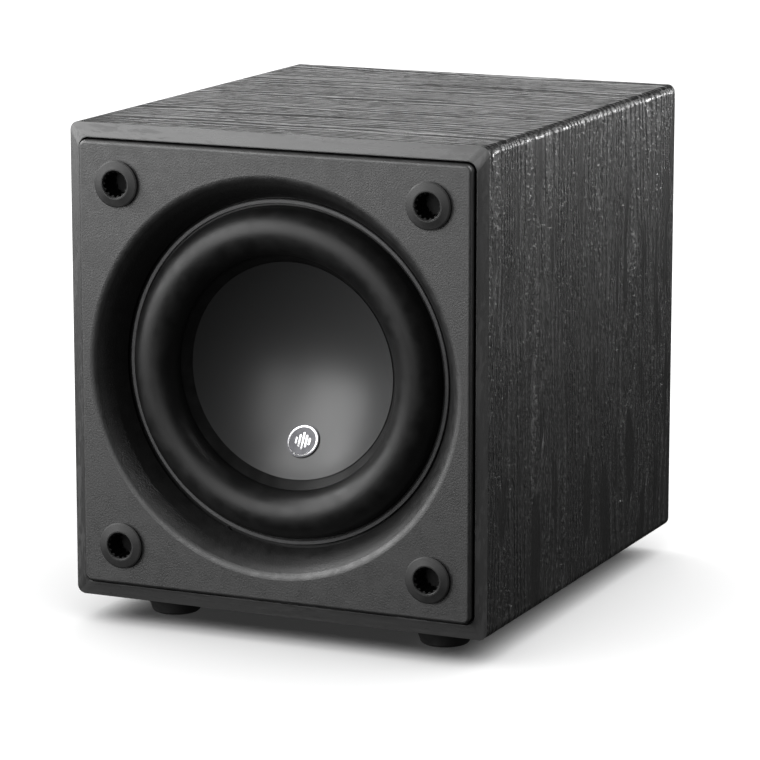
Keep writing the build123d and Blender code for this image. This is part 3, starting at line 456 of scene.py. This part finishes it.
shaft_metal = plain("shaft_metal", (0.6, 0.6, 0.6), 0.3, 1.0)
lead_jacket = plain("lead_jacket", (0.30, 0.02, 0.02), 0.45)
spider_cloth = woven("spider_cloth", (0.50, 0.34, 0.12), (0.16, 0.09, 0.02), 0.0011)
tinsel = woven("tinsel_braid", (0.62, 0.55, 0.42), (0.12, 0.09, 0.05), 0.0005, 0.45)
wadding = wadding_finish()
lamp_glow = {"emission_color": (0.1, 0.5, 1.0, 1), "emission_strength": 0.6}
lamp = plain("lamp_lens", (0.05, 0.25, 0.5), 0.2, **lamp_glow)
white_print = plain("white_print", (0.72, 0.72, 0.70), 0.55)
bright_metal = plain("bright_metal", (0.72, 0.72, 0.73), 0.22, 1.0)

finishes.update(
    {
        "rear_panel": painted_board,
        "window_brace": raw_board,
        "sub_baffle": raw_board,
        "front_baffle": baffle_finish,
        "baffle_screws": black_screw,
        "foot_screws": zinc_screw,
        "driver_frame": cast_frame,
        "driver_seal": foam,
        "driver_screws": black_screw,
        "surround": surround_rubber,
        "board_posts": shaft_metal,
        "trim_ring": trim_finish,
        "cone": cone_finish,
        "cone_badge": badge_finish,
        "coil_former": amber_film,
        "voice_coil": copper,
        "spider": spider_cloth,
        "tinsel_leads": tinsel,
        "terminal_block": board_plastic,
        "top_plate": steel_black,
        "motor_screws": zinc_screw,
        "magnet": ferrite,
        "back_plate": steel_black,
        "amp_plate": plate_finish,
        "amp_seal": foam,
        "amp_screws": black_screw,
        "heat_sink": sink_finish,
        "circuit_board": circuit(),
        "transformer": winding_tape,
        "capacitors": can_sleeve,
        "potentiometers": nickel,
        "level_shaft": shaft_metal,
        "lowpass_shaft": shaft_metal,
        "level_knob": control_plastic,
        "lowpass_knob": control_plastic,
        "switch_bodies": nickel,
        "filter_switch": control_plastic,
        "polarity_switch": control_plastic,
        "power_mode_switch": control_plastic,
        "rocker_housing": control_plastic,
        "power_rocker": control_plastic,
        "mains_inlet": control_plastic,
        "inlet_pins": nickel,
        "rca_jacks": gold,
        "rca_insulators": insulators(),
        "status_led": lamp,
        "speaker_leads": lead_jacket,
        "damping_pads": wadding,
    }
)
for row in ("upper", "lower"):
    for column in ("left", "right"):
        finishes[f"grille_socket_{row}_{column}"] = rubber
for row in ("front", "rear"):
    for column in ("left", "right"):
        finishes[f"foot_{row}_{column}"] = rubber

for label, node in nodes.items():
    node.data.materials.clear()
    node.data.materials.append(finishes[label])


# ---------------------------------------------------------------- meshes
def finished(name, vertices, faces, finish, crease=radians(35), body=None):
    """A mesh object with outward normals, smooth except across sharp edges, in this finish."""
    mesh = bpy.data.meshes.new(name)
    mesh.from_pydata([tuple(v) for v in vertices], [], faces)
    work = bmesh.new()
    work.from_mesh(mesh)
    bmesh.ops.recalc_face_normals(work, faces=work.faces)
    for edge in work.edges:
        edge.smooth = len(edge.link_faces) == 2 and edge.calc_face_angle() < crease
    for face in work.faces:
        face.smooth = True
    work.to_mesh(mesh)
    work.free()
    mesh.materials.append(finish)
    piece = bpy.data.objects.new(name, mesh)
    scene.collection.objects.link(piece)
    if body:
        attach(piece, body)
    return piece


def revolved(name, outline, finish, steps=192, capped=False):
    """An outline of (radius, depth) points in millimetres, turned round the driver's axis.

    The outline is closed, or with capped its two ends lie near the axis and get flat caps.
    """
    vertices, faces = [], []
    count = len(outline)
    for step in range(steps):
        angle = 2 * pi * step / steps
        vertices += [at(depth, radius * cos(angle), radius * sin(angle)) for radius, depth in outline]
        here, there = step * count, (step + 1) % steps * count
        for i in range(count - 1 if capped else count):
            j = (i + 1) % count
            faces.append((here + i, here + j, there + j, there + i))
    if capped:
        faces += [[step * count + end for step in range(steps)] for end in (0, count - 1)]
    return finished(name, vertices, faces, finish)


def arc(middle, radius, start, end, steps):
    """Points (radius from the axis, depth) on an arc.

    Angles are in degrees, from outwards at 0 through the front at 90.
    """
    turns = [radians(start + (end - start) * i / steps) for i in range(steps + 1)]
    return [(middle[0] + radius * cos(a), middle[1] - radius * sin(a)) for a in turns]


def blend_by_radius(piece):
    """Bakes the piece's transform into its mesh. Nothing here blends the piece between the cabinet and the
    cone.
    """
    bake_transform(piece)


# ---------------------------------------------------------------- surround
# Pairs are (radius from the axis, depth).
roll_middle = (99.0, 18.5)
roll_radius = 17.0
roll_skin = 1.4
roll_foot = 82.0
landing_radius = 120.6
landing_back = 20.0
landing_bevel = 0.3
dish_edge = (76.0, 24.4)
lip_depth = 25.3
lip_skin = (1.05, 0.93)
lip_inner = (dish_edge[0] + lip_skin[0], lip_depth + lip_skin[1])
lip_outer = (roll_foot + lip_skin[0], roll_middle[1] + lip_skin[1])

surround_outline = [(landing_radius, landing_back), (landing_radius, roll_middle[1] + landing_bevel)]
surround_outline += [(landing_radius - landing_bevel, roll_middle[1])]
surround_outline += arc(roll_middle, roll_radius, 0, 180, 40)
surround_outline += [((dish_edge[0] + roll_foot) / 2, (roll_middle[1] + lip_depth) / 2)]
surround_outline += [(dish_edge[0], lip_depth), lip_inner, lip_outer]
surround_outline += arc(roll_middle, roll_radius - roll_skin, 180, 0, 36)
surround_outline += [(roll_middle[0] + roll_radius - roll_skin, landing_back)]
surround = revolved("surround_roll", surround_outline, surround_rubber)
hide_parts("surround")
blend_by_radius(surround)


# ---------------------------------------------------------------- cone: a dish, its rim and its neck
dish_radius = 104.0
dish_skin = 2.6
dish_middle_depth = dish_edge[1] - sqrt(dish_radius**2 - dish_edge[0] ** 2)
cone_rim = 78.0
cone_shoulder = (1.5, 1.4)
neck_radius = 35.0
neck_flare = 3.0
neck_back = 62.0
neck_length = 4.0
former_radius = 32.1
pole_gap = 0.4


def dish_line(first, last, sphere, steps):
    """Points on the dish's sphere, or one about the same centre, from one radius to another."""
    radii = [first + (last - first) * i / steps for i in range(steps + 1)]
    return [(radius, dish_middle_depth + sqrt(sphere**2 - radius**2)) for radius in radii]


dish_back = dish_radius + dish_skin
cone_outline = dish_line(pole_gap, dish_edge[0], dish_radius, 30)
cone_outline += [(dish_edge[0], lip_depth), lip_inner, lip_outer]
cone_outline += [(lip_outer[0] + cone_shoulder[0], lip_outer[1] + cone_shoulder[1])]
cone_outline += dish_line(cone_rim, neck_radius + neck_flare, dish_back, 16)
cone_outline += [(neck_radius, neck_back - neck_length), (neck_radius, neck_back), (former_radius, neck_back)]
cone_outline += dish_line(former_radius, pole_gap, dish_back, 12)
cone_dish = revolved("cone_dish", cone_outline, cone_finish, capped=True)
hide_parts("cone")
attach(cone_dish, "cone_assembly")

# ---------------------------------------------------------------- spider
spider_rim = 78.0
spider_neck = former_radius
spider_front = 85.2
spider_skin = 0.8
wave_outer = 70.0
wave_inner = 37.0
wave_count = 5
wave_height = 1.4
wave_steps = 80
spider_front_line = [(spider_rim, spider_front)]
for i in range(wave_steps + 1):
    share = i / wave_steps
    radius = wave_outer + (wave_inner - wave_outer) * share
    spider_front_line.append((radius, spider_front - wave_height * sin(2 * pi * wave_count * share)))
spider_front_line.append((spider_neck, spider_front))
spider_back_line = [(radius, depth + spider_skin) for radius, depth in reversed(spider_front_line)]
spider = revolved("spider_disc", spider_front_line + spider_back_line, spider_cloth, 144)
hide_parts("spider")
blend_by_radius(spider)

# ---------------------------------------------------------------- ribbed linings of the grille sockets
socket_names = [label for label in nodes if label.startswith("grille_socket_")]
bore_radius = 9.2
bore_gap = 0.02
lining_skin = 0.15
rib_count = 14
rib_rise = 1.2
rib_steps = 10
lining_front = 1.2
lining_bevel = 0.3
lining_back = 17.0


def ribbed_lining(label):
    """A thin sleeve inside a socket's bore, with rounded ribs that grip the grille's peg."""
    low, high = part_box(label)
    middle = Vector(((low.x + high.x) / 2, low.y, (low.z + high.z) / 2))
    steps = rib_count * rib_steps
    vertices, faces = [], []
    for step in range(steps):
        angle = 2 * pi * step / steps
        rib = bore_radius - lining_skin - rib_rise * abs(cos(rib_count * angle / 2)) ** 3
        rows = [(bore_radius - bore_gap, lining_front), (rib, lining_front + lining_bevel)]
        rows += [(rib, lining_back)]
        for radius, depth in rows:
            vertices.append(middle + Vector((radius * cos(angle), depth, radius * sin(angle))) * MM)
        here, there = 3 * step, 3 * ((step + 1) % steps)
        faces += [(here + i, here + i + 1, there + i + 1, there + i) for i in (0, 1)]
    name = label.replace("grille_socket", "socket_lining")
    finished(name, vertices, faces, shaded_bore_rubber, body="cabinet")


for label in socket_names:
    ribbed_lining(label)


# ---------------------------------------------------------------- tinsel leads
def tube_mesh(name, routes, radius, finish):
    """Round leads along smooth curves through these control points, joined as one mesh."""
    curve = bpy.data.curves.new(name, "CURVE")
    curve.dimensions = "3D"
    curve.bevel_depth = radius * MM
    curve.bevel_resolution = 4
    curve.resolution_u = 8
    for route in routes:
        spline = curve.splines.new("NURBS")
        spline.points.add(len(route) - 1)
        for point, (x, depth, height) in zip(spline.points, route):
            point.co = (*at(depth, x, height), 1)
        spline.use_endpoint_u = True
        spline.order_u = 3
    holder = bpy.data.objects.new(name + "_path", curve)
    scene.collection.objects.link(holder)
    bpy.context.view_layer.update()
    mesh = bpy.data.meshes.new_from_object(holder.evaluated_get(bpy.context.evaluated_depsgraph_get()))
    bpy.data.objects.remove(holder)
    mesh.materials.clear()
    mesh.materials.append(finish)
    for polygon in mesh.polygons:
        polygon.use_smooth = True
    piece = bpy.data.objects.new(name, mesh)
    scene.collection.objects.link(piece)
    return piece


tinsel_route = [(6.0, 80.5, -84.0), (6.0, 74.0, -84.0), (5.8, 68.0, -74.0), (5.4, 68.5, -62.0)]
tinsel_route += [(5.0, 73.0, -51.0), (4.6, 72.0, -40.5), (4.5, 68.0, -32.0)]
tinsel_routes = [[(side * x, depth, height) for x, depth, height in tinsel_route] for side in (-1, 1)]
leads = tube_mesh("tinsel_braids", tinsel_routes, 0.8, tinsel)
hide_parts("tinsel_leads")
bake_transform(leads)


# ---------------------------------------------------------------- wadding on the side walls
corner_rounding = 0.10
tuft_pitch = 1 / 70
tuft_height = 1.6 * MM
tuft_sink = 1.2 * MM


def wadding_pad(name, low, high, seed):
    """A block of wadding: rounded, slightly swollen, with a tufted skin. low and high are its corners."""
    work = bmesh.new()
    bmesh.ops.create_cube(work, size=2.0)
    bmesh.ops.subdivide_edges(work, edges=work.edges, cuts=23, use_grid_fill=True)
    middle, half = (low + high) / 2, (high - low) / 2
    for vertex in work.verts:
        p = vertex.co.copy()
        squared = p.length_squared
        rounded = [q * sqrt(max(0.0, 1 - corner_rounding * (squared - q * q) / 2)) for q in p]
        place = Vector([middle[i] + half[i] * rounded[i] for i in range(3)])
        tuft = noise.noise((place + Vector((seed, seed, seed))) / tuft_pitch) * tuft_height
        vertex.co = place + (place - middle).normalized() * (tuft - tuft_sink)
    mesh = bpy.data.meshes.new(name)
    work.to_mesh(mesh)
    work.free()
    for polygon in mesh.polygons:
        polygon.use_smooth = True
    mesh.materials.append(wadding)
    pad = bpy.data.objects.new(name, mesh)
    scene.collection.objects.link(pad)
    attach(pad, "cabinet")
    return pad


pads_low, pads_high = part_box("damping_pads")
brace_low, brace_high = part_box("window_brace")
pad_thickness = 21.0 * MM
pad_clearance = 3.0 * MM
for side, x_low in (("left", pads_low.x), ("right", pads_high.x - pad_thickness)):
    for place, y_low, y_high in (
        ("front", pads_low.y, brace_low.y - pad_clearance),
        ("rear", brace_high.y + pad_clearance, pads_high.y),
    ):
        pad_low = Vector((x_low, y_low, pads_low.z))
        pad_high = Vector((x_low + pad_thickness, y_high, pads_high.z))
        pad = wadding_pad(f"wadding_{side}_{place}", pad_low, pad_high, len(side) + 3.0 * len(place))
        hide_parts("damping_pads")


# ---------------------------------------------------------------- badge: a bright ring and five bars
badge_thickness = 1.2
badge_drop = 53.0
badge_face = dish_radius - badge_thickness
badge_lean = asin(badge_drop / dish_radius)
badge_root = -0.1
badge_outwards = Vector((0, cos(badge_lean), -sin(badge_lean)))
badge_up = Vector((0, sin(badge_lean), cos(badge_lean)))


def on_badge(across, up, proud):
    """A point this far across and up from the middle of the badge's hollow face and proud of it, in mm."""
    way = badge_outwards + Vector((across / badge_face, 0, 0)) + badge_up * (up / badge_face)
    return at(dish_middle_depth) + way.normalized() * (badge_face - proud) * MM


def badge_band(name, pairs, proud, finish, closed):
    """A raised band between two edges, given as pairs of (across, up) points."""
    vertices, faces = [], []
    for first, second in pairs:
        corners = ((badge_root, first), (proud, first), (proud, second), (badge_root, second))
        vertices += [on_badge(across, up, rise) for rise, (across, up) in corners]
    count = len(pairs)
    for i in range(count if closed else count - 1):
        here, there = 4 * i, 4 * ((i + 1) % count)
        for j in range(4):
            k = (j + 1) % 4
            faces.append((here + j, here + k, there + k, there + j))
    if not closed:
        faces += [(0, 1, 2, 3), tuple(4 * (count - 1) + j for j in (3, 2, 1, 0))]
    return finished(name, vertices, faces, finish, body="cone_assembly")


def circle_pairs(inner, outer, steps=120):
    """A flat ring's two edges."""
    turns = [2 * pi * i / steps for i in range(steps)]
    return [((inner * cos(a), inner * sin(a)), (outer * cos(a), outer * sin(a))) for a in turns]


def bar_pairs(middle, half_width, half_height, steps=8, lengths=6):
    """An upright bar with rounded ends, as the pairs of points along its two sides."""
    rows = []
    straight = half_height - half_width
    for i in range(steps + 1):
        a = -pi / 2 + (pi / 2) * i / steps
        rows.append((half_width * max(0.05, cos(a)), -straight + half_width * sin(a)))
    rows += [(half_width, straight * (2 * i / lengths - 1)) for i in range(1, lengths)]
    rows += [(wide, -up) for wide, up in reversed(rows[: steps + 1])]
    return [((middle - wide, up), (middle + wide, up)) for wide, up in rows]


badge_band("badge_ring", circle_pairs(10.2, 11.2), 0.22, bright_metal, True)
bar_half_heights = (2.6, 4.6, 6.4, 4.6, 2.6)
bar_half_width = 0.7
bar_pitch = 2.5
for number, half_height in enumerate(bar_half_heights):
    pairs = bar_pairs((number - 2) * bar_pitch, bar_half_width, half_height)
    badge_band(f"badge_bar_{number + 1}", pairs, 0.18, bright_metal, False)


# ---------------------------------------------------------------- printed marks on the back
right = Vector((1, 0, 0))
backwards = Vector((0, 1, 0))
upward = Vector((0, 0, 1))


def slab(centre, along, across, half_along, half_across, outward, thick=0.10):
    """A thin slab on a face, as vertices and faces. Directions are unit vectors and sizes are in mm."""
    corners = []
    for depth in (-0.05, thick):
        for a, b in ((-1, -1), (1, -1), (1, 1), (-1, 1)):
            shift = along * (a * half_along) + across * (b * half_across) + outward * depth
            corners.append(centre + shift * MM)
    sides = [(i, (i + 1) % 4, 4 + (i + 1) % 4, 4 + i) for i in range(4)]
    return corners, [(0, 1, 2, 3), (7, 6, 5, 4)] + sides


def print_marks(name, slabs, body):
    """Joins slabs into one printed piece on this body."""
    vertices, faces = [], []
    for corners, sides in slabs:
        start = len(vertices)
        vertices += corners
        faces += [tuple(start + i for i in side) for side in sides]
    finished(name, vertices, faces, white_print, body=body)


def dial_ticks(column, row):
    """Eleven ticks round a knob, with longer ones in the middle and at the ends of its turn."""
    ticks = []
    for turn in range(-150, 151, 30):
        ray = Vector((sin(radians(turn)), 0, cos(radians(turn))))
        side = Vector((cos(radians(turn)), 0, -sin(radians(turn))))
        reach, half_length = (12.6, 1.3) if turn in (-150, 0, 150) else (12.2, 0.8)
        centre = at(plate_back, column, row) + ray * reach * MM
        ticks.append(slab(centre, ray, side, half_length, 0.2, backwards))
    return ticks


def frame_lines(low_x, high_x, low_z, high_z, half_line=0.15):
    """A printed rectangle round a group of controls."""
    lines = []
    middle_x, middle_z = (low_x + high_x) / 2, (low_z + high_z) / 2
    wide, tall = (high_x - low_x) / 2, (high_z - low_z) / 2
    for side in (-1, 1):
        level_middle = at(plate_back, middle_x, middle_z + side * tall)
        lines.append(slab(level_middle, right, upward, wide + half_line, half_line, backwards))
        upright_middle = at(plate_back, middle_x + side * wide, middle_z)
        lines.append(slab(upright_middle, upward, right, tall - half_line, half_line, backwards))
    return lines


plate_back = (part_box("amp_plate")[1].y - front_edge) / MM
plate_marks = []

knob_columns = {"level": 55.0, "lowpass": 5.0}
knob_row = 85.0
for column in knob_columns.values():
    plate_marks += dial_ticks(column, knob_row)

# The places where each slide switch stops
stop_row = 54.4
two_stops = (-2.0, 2.0)
three_stops = (-2.0, 0.0, 2.0)
for column, stops in ((55.0, two_stops), (15.0, two_stops), (-25.0, three_stops)):
    for stop in stops:
        centre = at(plate_back, column + stop, stop_row)
        plate_marks.append(slab(centre, right, upward, 0.25, 0.9, backwards))

plate_marks += frame_lines(low_x=-13.5, high_x=74.0, low_z=66.0, high_z=102.5)
plate_marks += frame_lines(low_x=-38.0, high_x=74.0, low_z=38.0, high_z=59.0)
print_marks("plate_marks", plate_marks, "cabinet")

# A white line in each knob's slot
slot_rise = 4.2
slot_inset = 0.6
for label, column in knob_columns.items():
    knob_back = (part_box(f"{label}_knob")[1].y - front_edge) / MM
    centre = at(knob_back - slot_inset, column, knob_row + slot_rise)
    pointer = slab(centre, upward, right, 3.1, 0.5, backwards, 0.25)
    print_marks(f"{label}_pointer", [pointer], f"{label}_control")

# A bar and a ring on the rocker's two faces, which meet in a shallow valley
rocker_lean = radians(12.0)
rocker_along = Vector((0, sin(rocker_lean), cos(rocker_lean)))
rocker_out = Vector((0, cos(rocker_lean), -sin(rocker_lean)))
rocker_pivot = at(352.0, -20.0, -88.0)
valley_rise = 4.3
face_run = 6.66
face_rise = 1.3
mark_place = 3.5
ring_radius = 1.4
ring_steps = 24


def on_rocker(side):
    """The middle of the mark on one face, with that face's own directions along and outward."""
    along = (rocker_along * (side * face_run) + rocker_out * face_rise).normalized()
    outward = (rocker_out * face_run - rocker_along * (side * face_rise)).normalized()
    rise = valley_rise + face_rise * mark_place / face_run
    return rocker_pivot + (rocker_along * (side * mark_place) + rocker_out * rise) * MM, along, outward


middle, along, outward = on_rocker(-1)
rocker_marks = []
for step in range(ring_steps):
    turn = 2 * pi * step / ring_steps
    ray = right * cos(turn) + along * sin(turn)
    across = right * -sin(turn) + along * cos(turn)
    rocker_marks.append(slab(middle + ray * ring_radius * MM, ray, across, 0.2, 0.2, outward))
middle, along, outward = on_rocker(1)
rocker_marks.append(slab(middle, along, right, 1.3, 0.22, outward))
print_marks("rocker_marks", rocker_marks, "rocker")

# ---------------------------------------------------------------- floor, light, camera
floor_finish = Finish("floor_pale")
dust = floor_finish.noise(0.5, 3.0, 0.6)
floor_finish.set(base_color=floor_finish.mix(dust, 0.89, 0.91), roughness=0.9, specular_ior_level=0.0)
floor_finish.set(emission_color=(1, 1, 1, 1), emission_strength=0.03)


def disc(name, radius, steps=64):
    """A flat round sheet on the ground."""
    mesh = bpy.data.meshes.new(name)
    rim = [(radius * cos(2 * pi * i / steps), radius * sin(2 * pi * i / steps), 0.0) for i in range(steps)]
    mesh.from_pydata(rim, [], [list(range(steps))])
    return bpy.data.objects.new(name, mesh)


floor = disc("floor", 14.0)
floor.data.materials.append(floor_finish.material)
floor.visible_diffuse = False
floor.visible_glossy = False
scene.collection.objects.link(floor)

target = Vector((0.0, 0.0, 0.19))


def lamp_towards_target(name, kind, azimuth, elevation, distance, power):
    """A light this far from the target. Azimuth 0 is in front, 90 on the object's right side."""
    data = bpy.data.lights.new(name, kind)
    data.energy = power
    turn, rise = radians(azimuth), radians(elevation)
    way = Vector((sin(turn) * cos(rise), -cos(turn) * cos(rise), sin(rise)))
    holder = bpy.data.objects.new(name, data)
    holder.location = target + way * distance
    holder.rotation_euler = (-way).to_track_quat("-Z", "Y").to_euler()
    holder.visible_camera = False
    scene.collection.objects.link(holder)
    return holder


def softbox(name, azimuth, elevation, distance, width, height, power):
    """A rectangular light that faces the target."""
    holder = lamp_towards_target(name, "AREA", azimuth, elevation, distance, power)
    holder.data.shape = "RECTANGLE"
    holder.data.size = width
    holder.data.size_y = height
    return holder


softbox("front_left_bank", -45, 18, 2.2, 2.1, 1.8, 70.0)
softbox("front_panel", 0, 18, 2.2, 0.9, 1.8, 14.0)
softbox("near_front_left", -70, 35, 0.9, 0.35, 0.35, 5.5)
softbox("near_right", 80, 50, 0.75, 0.35, 0.35, 5.4)
softbox("near_left", -90, 50, 0.75, 0.35, 0.35, 0.7)
softbox("back_right_low", 150, 6, 2.2, 0.9, 0.9, 0.4)
softbox("back_high", 180, 62, 2.2, 0.9, 0.9, 3.0)
softbox("horizon_left", -172, 6, 2.2, 2.0, 0.55, 5.8)
edge_kicker = softbox("kicker_right", 156, 7, 1.6, 0.32, 0.18, 4.2)
softbox("strip_right", 110, -6, 1.2, 1.0, 0.16, 1.0)
dish_glow = softbox("dish_glow", -32, 50, 1.6, 0.8, 0.6, 9.0)

sky = lamp_towards_target("sky_on_floor", "SUN", 0, 90, 3.0, 4.6)
sky.data.angle = radians(125)


def receivers(name, *objects):
    """A set of the objects that a light falls on."""
    lit = bpy.data.collections.new(name)
    for piece in objects:
        lit.objects.link(piece)
    return lit


# The softboxes light everything but the floor, which has a sky of its own for its soft shadow.
all_but_floor = receivers("all_but_floor", floor)
all_but_floor.collection_objects[0].light_linking.link_state = "EXCLUDE"
for lamp_object in [o for o in scene.objects if o.type == "LIGHT"]:
    lamp_object.light_linking.receiver_collection = all_but_floor
sky.light_linking.receiver_collection = receivers("floor_only", floor)
dish_glow.light_linking.receiver_collection = receivers("driver_only", cone_dish, nodes["cone_badge"])
edge_kicker.light_linking.receiver_collection = receivers("right_side_only", nodes["right_side_panel"])

world = bpy.data.worlds.new("studio")
scene.world = world
world.use_nodes = True
world.node_tree.nodes["Background"].inputs["Color"].default_value = (1, 1, 1, 1)
world.node_tree.nodes["Background"].inputs["Strength"].default_value = 0.02


# The camera looks from the object's right side of the front
view_azimuth = radians(24.21)
view_elevation = radians(11.68)
view_distance = 2.542
look_at = at(0.0, 77.3, 5.2)
to_camera = Vector((sin(view_azimuth), -cos(view_azimuth), 0)) * cos(view_elevation)
to_camera.z = sin(view_elevation)
camera_data = bpy.data.cameras.new("camera")
camera_data.sensor_width = 36.0
camera_data.lens = 179.48
camera = bpy.data.objects.new("camera", camera_data)
camera.location = look_at + to_camera * view_distance
camera.rotation_euler = (-to_camera).to_track_quat("-Z", "Y").to_euler()
scene.collection.objects.link(camera)
scene.camera = camera
scene.view_settings.view_transform = "Standard"
